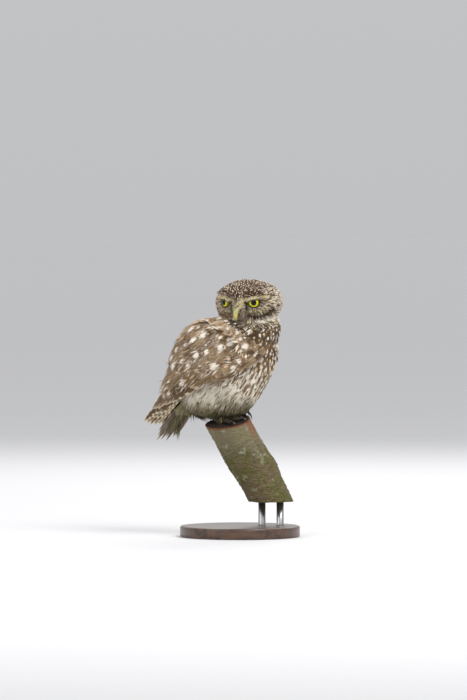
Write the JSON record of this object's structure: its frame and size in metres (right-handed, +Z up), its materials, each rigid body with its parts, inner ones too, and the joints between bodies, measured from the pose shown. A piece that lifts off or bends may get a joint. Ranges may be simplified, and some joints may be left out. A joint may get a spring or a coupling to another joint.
{
  "type": "little owl display model",
  "caption": "Life-size little owl standing upright on a short cut branch with its head turned over its right shoulder, held by a plain round display stand.",
  "frame": {"origin": "Middle of the underside of the display stand's round base.", "axes": "+Z up. Seen along +Y, as in the picture, the bird's right side shows: its breast is towards +X and 20 degrees towards -Y, its tail towards -X, and its face looks out towards -Y."},
  "size_m": [0.1711, 0.132, 0.2836],
  "materials": {
    "plumage_pale": "soft, matt, hair-like feathers, dirty white with brown streaks",
    "plumage_brown": "matt flight and covert feathers, warm brown with white spots",
    "plumage_head": "short, matt feathers, dark brown with fine buff streaks",
    "eye": "wet gloss, bright yellow iris and black pupil",
    "cere": "matt skin, grey olive",
    "bill": "smooth horn with a soft sheen, yellow green ivory",
    "toe_skin": "bristled, scaly skin, grey brown",
    "claw": "smooth dark horn",
    "bark": "rough grey green bark with a dark weathered cut",
    "stand_wood": "satin dark wood",
    "rod_steel": "brushed"
  },
  "bodies": {
    "root": {"torso": "plumage_pale", "neck": "plumage_head", "wing_right": "plumage_brown", "wing_left": "plumage_brown", "tail": "plumage_brown", "head": "plumage_head", "cere": "cere", "bill_upper": "bill", "bill_lower": "bill", "eye_right": "eye", "eye_left": "eye", "leg_right": "plumage_pale", "leg_left": "plumage_pale", "foot_right": "toe_skin", "foot_left": "toe_skin", "claw_right_inner": "claw", "claw_right_middle": "claw", "claw_right_outer": "claw", "claw_right_hind": "claw", "claw_left_inner": "claw", "claw_left_middle": "claw", "claw_left_outer": "claw", "claw_left_hind": "claw", "perch": "bark", "stand_base": "stand_wood", "stand_rod_a": "rod_steel", "stand_rod_b": "rod_steel"}
  },
  "joints": []
}
